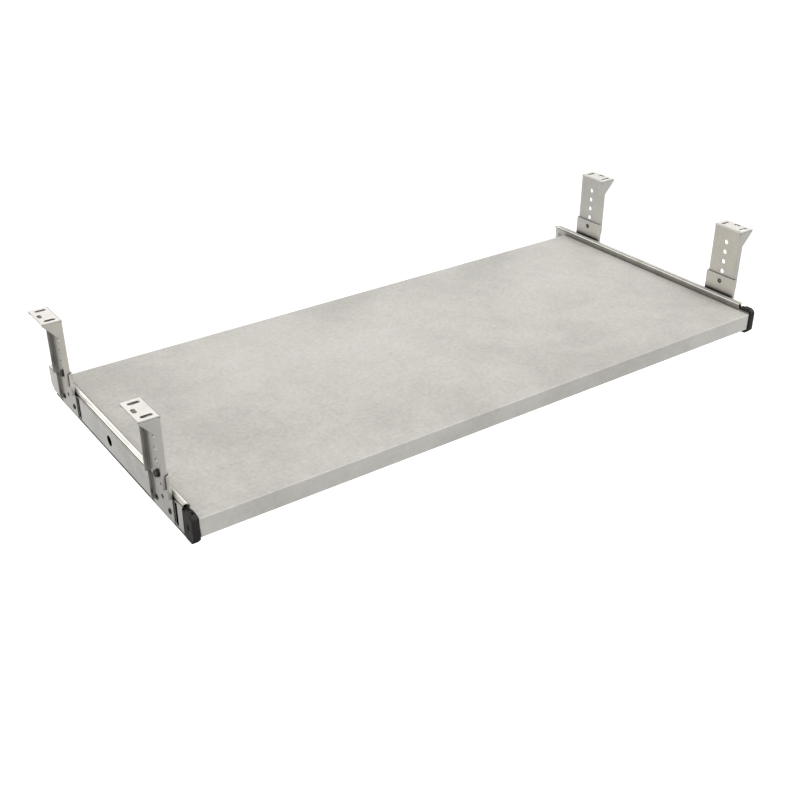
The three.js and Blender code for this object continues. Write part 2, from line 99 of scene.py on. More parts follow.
BRACKET_SHEET = 1.5
BRACKET_BEND = 1.25
UPPER_SIDE_DEPTH = 6
GUSSET_HEIGHT = 18.5
GUSSET_LIP = 2.5
FIRST_HEIGHT_HOLE = 17.5
HEIGHT_HOLE_PITCH = 12
HEIGHT_HOLES = 5
HEIGHT_HOLE_RADIUS = 2.75
END_SLOT_SPACING = 26
END_SLOT_SETBACK = 10
END_SLOT_SIZE = (11, 4)
CROSS_SLOT_SETBACK = 15.5
CROSS_SLOT_SIZE = (4, 8)
LOWER_TAB_HEIGHT = 24
LOWER_FLANGE_LIFT = 4.5
RIVET_SPAN = 27
RIVET_DROP = 11.5
RIVET_HOLE_RADIUS = 2.3
SPARE_HOLE_DROP = 3.5
SPARE_HOLE_RADIUS = 2.25
ARROW_DROP = 20.5
ARROW_SIZE = 3

CAP_CORNER = 6
CAP_CHAMFER = 5.5
CAP_CHAMFER_ROUND = 2.5
CAP_FOOT_ROUND = 1.3
CAP_EDGE = 1.1
CAP_HOLE = (3.8, 6.4)
CAP_HOLE_SETBACK = 9
CAP_HOLE_RISE = -1
CAP_HOLE_DEPTH = 5
CAP_STEP = (4.5, 1.4)
CAP_WALL = 2.2
CAP_POCKET_DEPTH = 5
CAP_RIB = 1.6

EDGE_ROUND = 0.22
SEAM_ROUND = 0.12
BAND_ROUND = 0.7
CUT = 0.3
FOLD_EASE = 0.1
TAB_NOTCH = 0.5
CHEEK_GAP = 0.06
CHEEK_OVERLAP = 0.05
CHEEK_NOTCH = 0.25


# ------------------------------------------------------------------ reading the frame

def sign_of(side):
    return 1 if side == "right" else -1


BOARD_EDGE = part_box("edge_band_right")[1].x / MM
BOARD_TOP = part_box("board_top_laminate")[1].z / MM


class Reach:
    """The box of a side piece in millimetres: s is the outboard distance, y and z are the frame's."""

    def __init__(self, node, side):
        low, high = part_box(node)
        outs = sorted(abs(x) / MM - BOARD_EDGE for x in (low.x, high.x))
        self.s0, self.s1 = outs
        self.y0, self.y1 = low.y / MM, high.y / MM
        self.z0, self.z1 = low.z / MM, high.z / MM
        self.y = (self.y0 + self.y1) / 2
        self.z = (self.z0 + self.z1) / 2


# ------------------------------------------------------------------ outlines

def rounded(corners, radii, closed, steps=6):
    """A line through corners, each turned into an arc of its radius."""
    points = [Vector(c) for c in corners]
    count = len(points)
    line = []
    for i, corner in enumerate(points):
        radius = radii[i]
        if not radius or (not closed and i in (0, count - 1)):
            line.append(corner)
            continue
        into = (corner - points[i - 1]).normalized()
        out = (points[(i + 1) % count] - corner).normalized()
        turn = math.atan2(into.x * out.y - into.y * out.x, into.dot(out))
        start = corner - into * radius * math.tan(abs(turn) / 2)
        left = Vector((-into.y, into.x)) * math.copysign(radius, turn)
        centre = start + left
        for step in range(steps + 1):
            line.append(centre + Matrix.Rotation(turn * step / steps, 2) @ (start - centre))
    return [here for i, here in enumerate(line) if i == 0 or (here - line[i - 1]).length > 1e-5]


def outline(*corners):
    """A closed outline, anticlockwise. Each corner is (x, y) or (x, y, radius)."""
    return rounded([c[:2] for c in corners], [c[2] if len(c) > 2 else 0 for c in corners], True)


def circle(x, y, radius, sides=32):
    turns = [2 * math.pi * i / sides for i in range(sides)]
    return [Vector((x + radius * math.cos(a), y + radius * math.sin(a))) for a in turns]


def slot(x, y, size, radius=None):
    """A slot with round ends, or with round corners where their radius is given."""
    half_x, half_y = size[0] / 2, size[1] / 2
    radius = radius or min(half_x, half_y) * 0.98
    return outline((x + half_x, y - half_y, radius), (x + half_x, y + half_y, radius),
                   (x - half_x, y + half_y, radius), (x - half_x, y - half_y, radius))


def inset(loop, distance):
    """A loop moved to its left, which is into the material of an anticlockwise outline."""
    moved = []
    for i, here in enumerate(loop):
        before = (here - loop[i - 1]).normalized()
        after = (loop[(i + 1) % len(loop)] - here).normalized()
        along = (before + after).normalized()
        mitre = distance / max(along.dot(after), 0.3)
        moved.append(here + Vector((-along.y, along.x)) * mitre)
    return moved


# ------------------------------------------------------------------ sheet metal

def blank(outer, holes, thickness, edge=EDGE_ROUND):
    """A flat sheet about z = 0, cut to an outline with holes, its edges rounded."""
    work = bmesh.new()
    rings = []
    for quarter in (1, -1):
        for degrees in (90, 45, 0)[::quarter]:
            angle = math.radians(degrees)
            height = thickness / 2 - edge + edge * math.sin(angle)
            rings.append((edge * (1 - math.cos(angle)), quarter * height))
    caps = ([], [])
    for loop in [outer] + [list(reversed(hole)) for hole in holes]:
        rows = []
        for distance, height in rings:
            rows.append([work.verts.new((p.x, p.y, height)) for p in inset(loop, distance)])
        count = len(loop)
        for upper, lower in zip(rows, rows[1:]):
            for i in range(count):
                j = (i + 1) % count
                work.faces.new((upper[i], upper[j], lower[j], lower[i]))
        for cap, row in zip(caps, (rows[0], rows[-1])):
            cap += [work.edges.get((row[i], row[(i + 1) % count])) for i in range(count)]
    for cap in caps:
        bmesh.ops.triangle_fill(work, edges=cap, use_beauty=True)
    bmesh.ops.recalc_face_normals(work, faces=work.faces)
    return work


def cut_across(work, axis, places):
    """Cuts the sheet's faces where it will be folded."""
    direction = Vector((1, 0, 0)) if axis == 0 else Vector((0, 1, 0))
    for place in places:
        parts = work.verts[:] + work.edges[:] + work.faces[:]
        bmesh.ops.bisect_plane(work, geom=parts, dist=1e-5, plane_co=direction * place,
                               plane_no=direction)


class Path:
    """The middle line of a folded sheet, as points in the plane that the folds turn in."""

    def __init__(self, corners, radii, steps=8):
        self.line = rounded(corners, [0, *radii, 0], False, steps)
        self.stops = [0.0]
        for a, b in zip(self.line, self.line[1:]):
            self.stops.append(self.stops[-1] + (b - a).length)
        self.length = self.stops[-1]
        runs = [(b - a).normalized() for a, b in zip(self.line, self.line[1:])]
        self.sides = []
        for i in range(len(self.line)):
            before, after = runs[max(i - 1, 0)], runs[min(i, len(runs) - 1)]
            along = (before + after).normalized()
            self.sides.append(Vector((-along.y, along.x)) / along.dot(after))

    def at(self, u, w):
        """The point at length u along the path, w to its left."""
        i = min(max(bisect.bisect(self.stops, u) - 1, 0), len(self.line) - 2)
        share = (u - self.stops[i]) / (self.stops[i + 1] - self.stops[i])
        middle = self.line[i].lerp(self.line[i + 1], share)
        return middle + self.sides[i].lerp(self.sides[i + 1], share) * w


def folded(work, path):
    """Folds a blank whose x runs along a path in the (z, outboard) plane. Its y stays the frame's y."""
    cut_across(work, 0, path.stops[1:-1])
    for v in work.verts:
        place = path.at(v.co.x, v.co.z)
        v.co = (place.y, v.co.y, place.x)
    return work


# ------------------------------------------------------------------ solids

def lathe(profile, sides=32):
    """A closed (radius, height) profile turned about z."""
    work = bmesh.new()
    rows = []
    for i in range(sides):
        angle = 2 * math.pi * i / sides
        rows.append([work.verts.new((r * math.cos(angle), r * math.sin(angle), z)) for r, z in profile])
    for row, after in zip(rows, rows[1:] + rows[:1]):
        for i in range(len(profile)):
            j = (i + 1) % len(profile)
            if profile[i][0] or profile[j][0]:
                work.faces.new((row[i], row[j], after[j], after[i]))
    bmesh.ops.remove_doubles(work, verts=work.verts, dist=1e-4)
    bmesh.ops.dissolve_degenerate(work, edges=work.edges, dist=1e-5)
    bmesh.ops.recalc_face_normals(work, faces=work.faces)
    return work


def brick(low, high):
    """A plain block, to be bevelled or to cut with."""
    work = bmesh.new()
    bmesh.ops.create_cube(work, size=1)
    low, high = Vector(low), Vector(high)
    for v in work.verts:
        v.co = (low + high) / 2 + Vector(v.co[i] * (high - low)[i] for i in range(3))
    return work


def stood_outboard(work, s, y, z):
    """Turns a piece made along z so that it points outboard, and moves its origin to (s, y, z)."""
    for v in work.verts:
        v.co = (v.co.z + s, v.co.x + y, v.co.y + z)
    return work


def joined(*works):
    """One bmesh holding the shells of several."""
    whole = bmesh.new()
    for work in works:
        part = bpy.data.meshes.new("part")
        work.to_mesh(part)
        work.free()
        whole.from_mesh(part)
        bpy.data.meshes.remove(part)
    return whole


def piece(name, work, look, body, side=None):
    """A finished object. A side piece is made for the right, outboard along x, and mirrored for the left."""
    sign = 1 if side is None else sign_of(side)
    shift = 0 if side is None else BOARD_EDGE
    for v in work.verts:
        v.co = Vector((sign * (v.co.x + shift), v.co.y, v.co.z)) * MM
    bmesh.ops.recalc_face_normals(work, faces=work.faces)
    if work.calc_volume(signed=True) < 0:
        bmesh.ops.reverse_faces(work, faces=work.faces)
    mesh = bpy.data.meshes.new(name)
    work.to_mesh(mesh)
    work.free()
    mesh.materials.append(look)
    mesh.shade_smooth()
    thing = bpy.data.objects.new(name, mesh)
    bpy.context.scene.collection.objects.link(thing)
    weigh = thing.modifiers.new("weighted", "WEIGHTED_NORMAL")
    weigh.weight = 90
    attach(thing, body)
    return thing


def stands_for(thing, slot_name, *nodes):
    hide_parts(*nodes)


# ------------------------------------------------------------------ materials

def srgb(*values):
    """Screen values from 0 to 255 as a linear colour."""
    shares = [v / 255 for v in values]
    return (*[s / 12.92 if s <= 0.04045 else ((s + 0.055) / 1.055) ** 2.4 for s in shares], 1)


def set_stops(node, stops):
    """Fills a colour ramp. A stop is a place and either a colour or a grey level."""
    marks = node.color_ramp.elements
    while len(marks) < len(stops):
        marks.new(0.5)
    for mark, (place, colour) in zip(marks, stops):
        mark.position = place
        mark.color = colour if isinstance(colour, tuple) else (colour, colour, colour, 1)


class Look:
    """A material being made: a Principled shader, and short ways to add texture to it."""

    def __init__(self, name, roughness, metallic=0.0):
        self.material = bpy.data.materials.new(name)
        self.material.use_nodes = True
        self.nodes = self.material.node_tree.nodes
        self.links = self.material.node_tree.links
        self.shader = self.nodes["Principled BSDF"]
        self.shader.inputs["Roughness"].default_value = roughness
        self.shader.inputs["Metallic"].default_value = metallic
        self.place = self.nodes.new("ShaderNodeTexCoord").outputs["Object"]

    def stretched(self, scale):
        node = self.nodes.new("ShaderNodeMapping")
        node.inputs["Scale"].default_value = scale
        self.links.new(self.place, node.inputs["Vector"])
        return node.outputs["Vector"]

    def noise(self, scale, detail, rough, stretch=None, warp=0.0):
        node = self.nodes.new("ShaderNodeTexNoise")
        node.inputs["Scale"].default_value = scale
        node.inputs["Detail"].default_value = detail
        node.inputs["Roughness"].default_value = rough
        node.inputs["Distortion"].default_value = warp
        source = self.stretched(stretch) if stretch else self.place
        self.links.new(source, node.inputs["Vector"])
        return node.outputs["Fac"]

    def cells(self, scale):
        node = self.nodes.new("ShaderNodeTexVoronoi")
        node.inputs["Scale"].default_value = scale
        self.links.new(self.place, node.inputs["Vector"])
        return node

    def ramp(self, source, *stops):
        """Colours or greys at places along a value."""
        node = self.nodes.new("ShaderNodeValToRGB")
        set_stops(node, stops)
        self.links.new(source, node.inputs["Fac"])
        return node.outputs["Color"]

    def mix(self, a, b, factor, blend):
        node = self.nodes.new("ShaderNodeMix")
        node.data_type = "RGBA"
        node.blend_type = blend
        for socket, value in ((node.inputs["Factor"], factor), (node.inputs[6], a), (node.inputs[7], b)):
            if isinstance(value, bpy.types.NodeSocket):
                self.links.new(value, socket)
            else:
                socket.default_value = value
        return node.outputs[2]

    def span(self, source, low, high):
        """A value spread from low to high."""
        node = self.nodes.new("ShaderNodeMapRange")
        node.inputs["From Min"].default_value = 0.3
        node.inputs["From Max"].default_value = 0.7
        node.inputs["To Min"].default_value = low
        node.inputs["To Max"].default_value = high
        self.links.new(source, node.inputs["Value"])
        return node.outputs["Result"]

    def bump(self, source, depth_mm, strength, under=None):
        node = self.nodes.new("ShaderNodeBump")
        node.inputs["Strength"].default_value = strength
        node.inputs["Distance"].default_value = depth_mm * MM
        self.links.new(source, node.inputs["Height"])
        if under is not None:
            self.links.new(under, node.inputs["Normal"])
        return node.outputs["Normal"]

    def shaded(self, colour, reach_mm, darkest):
        """A colour darkened where other surfaces crowd in: painted shade in creases, hollows and gaps between
        parts.
        """
        node = self.nodes.new("ShaderNodeAmbientOcclusion")
        node.samples = 8
        node.inputs["Distance"].default_value = reach_mm * MM
        spread = self.ramp(node.outputs["AO"], (0.3, darkest), (0.62, 0.42), (0.95, 1.0))
        return self.mix(colour, spread, 1.0, "MULTIPLY")

    def finish(self, colour, roughness=None, normal=None):
        for name, source in (("Base Color", colour), ("Roughness", roughness), ("Normal", normal)):
            if source is not None:
                self.links.new(source, self.shader.inputs[name])
        return self.material


def concrete(name, light, middle, dark, roughness):
    """Printed concrete: broad soft clouds, trowel mottling, speckle and fine grain."""
    look = Look(name, roughness)
    clouds = look.noise(6, 4, 0.55, warp=0.3)
    mottle = look.noise(60, 6, 0.7, warp=0.3)
    grain = look.noise(900, 3, 0.6)
    speckle = look.noise(240, 5, 0.7)
    base = look.ramp(clouds, (0.36, dark), (0.5, middle), (0.66, light))
    base = look.mix(base, look.ramp(mottle, (0.3, 0.38), (0.5, 0.5), (0.72, 0.62)), 0.34, "OVERLAY")
    base = look.mix(base, look.ramp(speckle, (0.35, 0.41), (0.65, 0.58)), 0.5, "OVERLAY")
    base = look.mix(base, look.ramp(grain, (0.35, 0.44), (0.65, 0.56)), 0.35, "OVERLAY")
    normal = look.bump(grain, 0.02, 0.35, under=look.bump(mottle, 0.05, 0.25))
    return look.finish(base, look.span(mottle, roughness - 0.06, roughness + 0.08), normal)


def steel(name, colour, roughness, metallic, grain_stretch, shift=0.05, painted_shade_reach=10):
    """Plated or painted sheet: faint rolling lines, soft clouding, a fine tooth, and painted shade where
    other surfaces crowd in.
    """
    look = Look(name, roughness, metallic)
    clouds = look.noise(60, 3, 0.5)
    lines = look.noise(220, 4, 0.6, stretch=grain_stretch)
    tooth = look.noise(1500, 2, 0.5)
    dark = tuple(c * (1 - 2.2 * shift) for c in colour[:3]) + (1,)
    light = tuple(min(c * (1 + 1.4 * shift), 1) for c in colour[:3]) + (1,)
    base = look.ramp(clouds, (0.32, dark), (0.5, colour), (0.7, light))
    base = look.mix(base, look.ramp(lines, (0.3, 0.43), (0.7, 0.57)), 0.5, "OVERLAY")
    # Painted shade: the colour darkens in creases, inside the brackets and along gaps between parts.
    base = look.shaded(base, painted_shade_reach, 0.02)
    normal = look.bump(tooth, 0.01, 0.25, under=look.bump(lines, 0.012, 0.3))
    return look.finish(base, look.span(lines, roughness - 0.05, roughness + 0.07), normal)


def moulded_black():
    """Black moulded plastic with a fine spark-eroded texture."""
    look = Look("moulded_black", 0.5)
    texture = look.noise(2200, 2, 0.5)
    clouds = look.noise(120, 3, 0.5)
    base = look.ramp(clouds, (0.35, srgb(30, 29, 27)), (0.65, srgb(40, 38, 35)))
    return look.finish(base, look.span(clouds, 0.42, 0.55), look.bump(texture, 0.02, 0.5))


def chipboard():
    """Pressed wood chips of mixed tone."""
    look = Look("chipboard_chips", 0.9)
    chips = look.cells(420)
    tone = look.ramp(chips.outputs["Color"], (0.2, srgb(150, 118, 80)), (0.5, srgb(188, 158, 116)),
                     (0.85, srgb(214, 190, 150)))
    fibre = look.noise(300, 5, 0.7, stretch=(0.3, 1, 1))
    base = look.mix(tone, look.ramp(fibre, (0.3, 0.38), (0.7, 0.6)), 0.5, "OVERLAY")
    return look.finish(base, None, look.bump(chips.outputs["Distance"], 0.2, 0.6))


def make_looks():
    return {
        "laminate": concrete("concrete_laminate", srgb(200, 197, 190), srgb(193, 190, 183),
                             srgb(182, 179, 172), 0.4),
        "edge_band": concrete("concrete_edging", srgb(226, 223, 217), srgb(218, 215, 209),
                              srgb(206, 203, 196), 0.5),
        "chipboard": chipboard(),
        "slide_steel": steel("zinc_slide", srgb(242, 239, 232), 0.18, 0.95, (1, 0.04, 1)),
        # The channel's painted shade reaches 26 mm, to darken the groove between its top and the board.
        "channel": steel("zinc_channel", srgb(232, 229, 221), 0.13, 0.97, (1, 0.04, 1), 0.05, 26),
        "retainer_steel": steel("zinc_retainer", srgb(160, 157, 150), 0.4, 0.9, (1, 0.05, 1)),
        "bracket_steel": steel("satin_bracket", srgb(232, 229, 222), 0.3, 0.85, (1, 1, 0.06), 0.02),
        "bolt": steel("plated_bolt", srgb(146, 142, 134), 0.3, 0.9, (1, 1, 1), 0.08),
        "dark_steel": steel("dark_fastener", srgb(92, 89, 84), 0.4, 0.85, (1, 1, 1), 0.12),
        "ball_steel": steel("ball_polish", srgb(214, 214, 212), 0.14, 1.0, (1, 1, 1), 0.02),
        "black_plastic": moulded_black(),
    }


# ------------------------------------------------------------------ the board

def dress_board(looks):
    carried = {
        "board_core": "chipboard",
        "board_top_laminate": "laminate",
        "board_bottom_laminate": "laminate",
    }
    for node, slot_name in carried.items():
        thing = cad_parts[node]
        thing.data.materials.clear()
        thing.data.materials.append(looks[slot_name])


def edge_band(node, outward):
    """A strip of edging, well rounded on its outer edges and barely eased along its seams."""
    low, high = (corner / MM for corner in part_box(node))
    work = brick(low, high)
    centre, size = (low + high) / 2, high - low
    face_at = centre.dot(outward) + abs(size.dot(outward)) / 2
    outer = [e for e in work.edges if all(abs(v.co.dot(outward) - face_at) < 1e-3 for v in e.verts)]
    bmesh.ops.bevel(work, geom=outer, offset=BAND_ROUND, segments=4, profile=0.5, affect="EDGES")
    seam_at = face_at - abs(size.dot(outward))
    inner = [e for e in work.edges if all(abs(v.co.dot(outward) - seam_at) < 1e-3 for v in e.verts)]
    bmesh.ops.bevel(work, geom=inner, offset=SEAM_ROUND, segments=2, profile=0.5, affect="EDGES")
    return work


def add_edge_bands(looks):
    outwards = {"front": (0, -1, 0), "rear": (0, 1, 0), "left": (-1, 0, 0), "right": (1, 0, 0)}
    for place, outward in outwards.items():
        node = f"edge_band_{place}"
        band = piece(f"fine_{node}", edge_band(node, Vector(outward)), looks["edge_band"], "tray")
        stands_for(band, "edge_band", node)


# ------------------------------------------------------------------ the slides

def screw_places(side):
    return [Reach(f"channel_screw_{i}_{side}", side).y for i in SCREWS]


def slide_channel(side):
    box = Reach(f"slide_channel_{side}", side)
    crest = (box.z1 - box.z0 - SLIDE_SHEET) / 2
    lip = box.s1 - CHANNEL_LIP_SETBACK
    half = [(crest - CHANNEL_LIP_FALL, lip), (crest, lip - CHANNEL_LIP_RUN), (crest, SLIDE_SHEET / 2)]
    corners = half + [(-z, s) for z, s in reversed(half)]
    path = Path([(z + box.z, s) for z, s in corners],
                [CHANNEL_LIP_BEND, CHANNEL_BEND, CHANNEL_BEND, CHANNEL_LIP_BEND])
    web = CHANNEL_TONGUE / 2
    middle = path.length / 2
    notch = box.y0 + CHANNEL_FLANGE_SETBACK
    shape = outline((0, notch, SHEET_CORNER), (middle - web, notch), (middle - web, box.y0, 1),
                    (middle + web, box.y0, 1), (middle + web, notch),
                    (path.length, notch, SHEET_CORNER), (path.length, box.y1, SHEET_CORNER),
                    (0, box.y1, SHEET_CORNER))
    screw = Reach(f"channel_screw_{SCREWS[0]}_{side}", side)
    head_radius = (screw.z1 - screw.z0) / 2 + CUT
    holes = [circle(middle, y, head_radius) for y in screw_places(side)]
    holes.append(circle(middle - CHANNEL_HOLE_RISE, box.y1 - CHANNEL_HOLE_INSET, CHANNEL_HOLE_RADIUS))
    return folded(blank(shape, holes, SLIDE_SHEET), path)


def slide_rail(side):
    box = Reach(f"slide_rail_{side}", side)
    ball = Reach(f"ball_top_1_{side}", side)
    race = ball.z0 - box.z - RAIL_RACE_CLEARANCE
    web_s = box.s1 - SLIDE_SHEET / 2
    fold_centre = (box.z1 - box.z0 - SLIDE_SHEET) / 2 - RAIL_FOLD_BEND
    fold = fold_centre + RAIL_FOLD_BEND * math.tan(math.radians(RAIL_FOLD_TURN / 2))
    half = [(race, (ball.s0 + ball.s1) / 2 - RAIL_LIP_HALF_WIDTH), (race, web_s - (fold - race)),
            (fold, web_s)]
    corners = half + [(-z, s) for z, s in reversed(half)]
    path = Path([(z + box.z, s) for z, s in corners],
                [RAIL_RACE_BEND, RAIL_FOLD_BEND, RAIL_FOLD_BEND, RAIL_RACE_BEND])
    middle = path.length / 2
    lower = middle + fold_centre + RAIL_FOLD_BEND
    shape = outline((0, box.y0, SHEET_CORNER), (path.length, box.y0, SHEET_CORNER),
                    (path.length, box.y1 - RAIL_CHAMFER, SHEET_CORNER),
                    (lower, box.y1 - RAIL_CHAMFER), (lower - RAIL_CHAMFER, box.y1, 1),
                    (0, box.y1, SHEET_CORNER))
    holes = [circle(middle, Reach(f"ball_retainer_{side}", side).y, ACCESS_HOLE_RADIUS, 48)]
    for station in STATIONS:
        y = Reach(f"lower_bracket_{side}_{station}", side).y
        rivet_u = middle + box.z - (BOARD_TOP - RIVET_DROP)
        spare_u = middle + box.z - (BOARD_TOP - SPARE_HOLE_DROP)
        holes += [circle(rivet_u, y + end * RIVET_SPAN / 2, RIVET_HOLE_RADIUS) for end in (-1, 1)]
        holes.append(circle(spare_u, y, SPARE_HOLE_RADIUS))
        holes.append(slot(middle, y - RELIEF_SLOT_OFFSET, RELIEF_SLOT_SIZE[::-1], 0.8))
    return folded(blank(shape, holes, SLIDE_SHEET), path)


def ball_places(side):
    balls = [Reach(f"ball_top_{i}_{side}", side) for i in BALLS]
    return [b.y for b in balls], balls[0]


def ball_retainer(side):
    box = Reach(f"ball_retainer_{side}", side)
    ys, ball = ball_places(side)
    rise = ball.z - box.z
    half = [(rise, box.s1), (rise, box.s0 + RETAINER_SHEET / 2)]
    corners = half + [(-z, s) for z, s in reversed(half)]
    path = Path([(z + box.z, s) for z, s in corners], [RETAINER_BEND, RETAINER_BEND])
    shape = outline((0, box.y0, SHEET_CORNER), (path.length, box.y0, SHEET_CORNER),
                    (path.length, box.y1, SHEET_CORNER), (0, box.y1, SHEET_CORNER))
    radius = (ball.s1 - ball.s0) / 2 + POCKET_PLAY
    lip_u = box.s1 - (ball.s0 + ball.s1) / 2
    holes = [circle(u, y, radius, 24) for u in (lip_u, path.length - lip_u) for y in ys]
    return folded(blank(shape, holes, RETAINER_SHEET, 0.08), path)


def race_balls(side):
    """The eight balls of one slide, as one piece."""
    balls = []
    for race in RACES:
        for i in BALLS:
            box = Reach(f"ball_{race}_{i}_{side}", side)
            radius = (box.y1 - box.y0) / 2
            work = bmesh.new()
            bmesh.ops.create_icosphere(work, subdivisions=3, radius=radius)
            balls.append(stood_outboard(work, (box.s0 + box.s1) / 2, box.y, box.z))
    return joined(*balls)


def channel_screw(node, side):
    """A countersunk wood screw: a flat head, and a shank with its thread as rings."""
    box = Reach(node, side)
    head_radius = (box.z1 - box.z0) / 2
    head_top = box.s1 - 0.15
    shank = 1.45
    pitch = 1.3
    tip = box.s0 + 1.2
    profile = [(0, head_top), (head_radius - 0.1, head_top), (head_radius, head_top - 0.1),
               (head_radius, head_top - 0.3), (shank, head_top - 1.3)]
    turns = int((head_top - 2 - tip - 1.5) / pitch)
    for i in range(turns):
        top = head_top - 2 - i * pitch
        profile += [(shank - 0.25, top), (shank + 0.1, top - pitch * 0.5), (shank - 0.25, top - pitch * 0.75)]
    profile += [(0, box.s0 + 0.2)]
    return stood_outboard(lathe(profile, 24), 0, box.y, box.z)


def add_slides(looks):
    for side in SIDES:
        rows = [
            ("slide_channel", slide_channel(side), "slide_steel", "tray"),
            ("slide_rail", slide_rail(side), "slide_steel", "hanging_frame"),
            ("ball_retainer", ball_retainer(side), "retainer_steel", f"ball_cage_{side}"),
            ("front_cap", front_cap(side), "black_plastic", "tray"),
        ]
        for stem, work, slot_name, body in rows:
            node = f"{stem}_{side}"
            look = looks["channel" if stem == "slide_channel" else slot_name]
            stands_for(piece(f"fine_{node}", work, look, body, side), slot_name, node)
        for i in SCREWS:
            node = f"channel_screw_{i}_{side}"
            screw = piece(f"fine_{node}", channel_screw(node, side), looks["dark_steel"], "tray", side)
            stands_for(screw, "dark_steel", node)
        balls = piece(f"fine_balls_{side}", race_balls(side), looks["ball_steel"],
                      f"ball_cage_{side}", side)
        nodes = [f"ball_{race}_{i}_{side}" for race in RACES for i in BALLS]
        stands_for(balls, "ball_steel", *nodes)


# ------------------------------------------------------------------ the front caps

def carved(work, *cutters):
    """A solid with other solids cut out of it."""
    made = []
    for part in (work, *cutters):
        bmesh.ops.recalc_face_normals(part, faces=part.faces)
        mesh = bpy.data.meshes.new("carving")
        part.to_mesh(mesh)
        part.free()
        thing = bpy.data.objects.new("carving", mesh)
        bpy.context.scene.collection.objects.link(thing)
        made.append(thing)
    solid = made[0]
    for cutter in made[1:]:
        cut = solid.modifiers.new("cut", "BOOLEAN")
        cut.operation = "DIFFERENCE"
        cut.solver = "EXACT"
        cut.object = cutter
    seen = solid.evaluated_get(bpy.context.evaluated_depsgraph_get())
    result = bmesh.new()
    result.from_mesh(seen.to_mesh())
    seen.to_mesh_clear()
    for thing in made:
        mesh = thing.data
        bpy.data.objects.remove(thing)
        bpy.data.meshes.remove(mesh)
    return result


def front_cap(side):
    """The moulded cap: a rounded nose, a rebate over the channel's web, two top pockets and a blind hole."""
    box = Reach(f"front_cap_{side}", side)
    step_y, step_z = box.y1 - CAP_STEP[0], box.z1 - CAP_STEP[1]
    shape = outline((box.y0, box.z0 + CAP_CHAMFER, CAP_CHAMFER_ROUND),
                    (box.y0 + CAP_CHAMFER, box.z0, CAP_CHAMFER_ROUND),
                    (box.y1, box.z0, CAP_FOOT_ROUND), (box.y1, step_z, CAP_FOOT_ROUND),
                    (step_y, step_z), (step_y, box.z1, CAP_FOOT_ROUND),
                    (box.y0, box.z1, CAP_CORNER))
    body = stood_outboard(blank(shape, [], box.s1 - box.s0, CAP_EDGE), (box.s0 + box.s1) / 2, 0, 0)
    channel = Reach(f"slide_channel_{side}", side)
    rebate_s = SLIDE_SHEET + CUT
    rebate = brick((-1, channel.y0 - CUT, box.z0 - 1), (rebate_s, box.y1 + 1, box.z1 + 1))
    inner, outer = rebate_s + CAP_WALL / 2, box.s1 - CAP_WALL
    floor_z = box.z1 - CAP_POCKET_DEPTH
    middle = box.y + CAP_WALL / 2
    pockets = [brick((inner, low, floor_z), (outer, high, box.z1 + 1)) for low, high in (
        (box.y0 + 2 * CAP_WALL, middle - CAP_RIB / 2), (middle + CAP_RIB / 2, box.y1 - CAP_WALL))]
    hole = stood_outboard(
        blank(slot(box.y0 + CAP_HOLE_SETBACK, channel.z + CAP_HOLE_RISE, CAP_HOLE), [],
              2 * CAP_HOLE_DEPTH, 0.1), box.s1, 0, 0)
    return carved(body, rebate, hole, *pockets)


# ------------------------------------------------------------------ the brackets

def side_path(half, s_middle, s_tip):
    """Across a bracket: in along one flange, over the web and out along the other."""
    edge = half - BRACKET_SHEET / 2
    return Path([(-edge, s_tip), (-edge, s_middle), (edge, s_middle), (edge, s_tip)],
                [BRACKET_BEND, BRACKET_BEND])


def upper_bracket(side, station):
    """The blank's x runs across the bracket, its y runs up the web and out along the desk flange."""
    box = Reach(f"upper_bracket_{side}_{station}", side)
    half = (box.y1 - box.y0) / 2
    s_middle = box.s0 + BRACKET_SHEET / 2
    across = side_path(half, s_middle, box.s1)
    bend_start = box.z1 - BRACKET_SHEET / 2 - BRACKET_BEND
    over = Path([(bend_start, s_middle), (box.z1 - BRACKET_SHEET / 2, s_middle),
                 (box.z1 - BRACKET_SHEET / 2, box.s1)], [BRACKET_BEND])
    flange_end = bend_start + over.length

    def cheek(s):
        return across.length / 2 - (box.s1 - s)

    cheek_top = box.z1 - BRACKET_SHEET - CHEEK_GAP
    flat = half - BRACKET_SHEET / 2 - BRACKET_BEND
    right = [
        (cheek(box.s0 + UPPER_SIDE_DEPTH), box.z0, 1.2),
        (cheek(box.s0 + UPPER_SIDE_DEPTH), box.z1 - GUSSET_HEIGHT, 1.5),
        (cheek(box.s1), box.z1 - GUSSET_LIP, 0.4),
        (cheek(box.s1), cheek_top),
        (half + CHEEK_OVERLAP, cheek_top),
        (half + CHEEK_OVERLAP, bend_start - CHEEK_NOTCH),
        (flat - FOLD_EASE, bend_start - CHEEK_NOTCH),
        (flat - FOLD_EASE, bend_start),
        (half, bend_start),
        (half, flange_end, 0.8),
    ]
    left = [(-x, *rest) for x, *rest in reversed(right)]
    holes = [circle(0, box.z1 - FIRST_HEIGHT_HOLE - i * HEIGHT_HOLE_PITCH, HEIGHT_HOLE_RADIUS)
             for i in range(HEIGHT_HOLES)]
    depth = box.s1 - box.s0
    end_y = flange_end - (depth - END_SLOT_SETBACK)
    holes += [slot(end * END_SLOT_SPACING / 2, end_y, END_SLOT_SIZE[::-1]) for end in (-1, 1)]
    holes.append(slot(0, flange_end - (depth - CROSS_SLOT_SETBACK), CROSS_SLOT_SIZE[::-1]))
    work = blank(outline(*right, *left), holes, BRACKET_SHEET)
    cut_across(work, 0, [u - across.length / 2 for u in across.stops[1:-1]])
    cut_across(work, 1, [bend_start + u for u in over.stops[:-1]])
    for v in work.verts:
        a, b, w = v.co
        if b > bend_start - 1e-4 and abs(a) < half + 0.02:
            place = over.at(b - bend_start, w)
            v.co = (place.y, box.y + a, place.x)
        else:
            place = across.at(a + across.length / 2, w)
            v.co = (place.y, box.y + place.x, b)
    return work


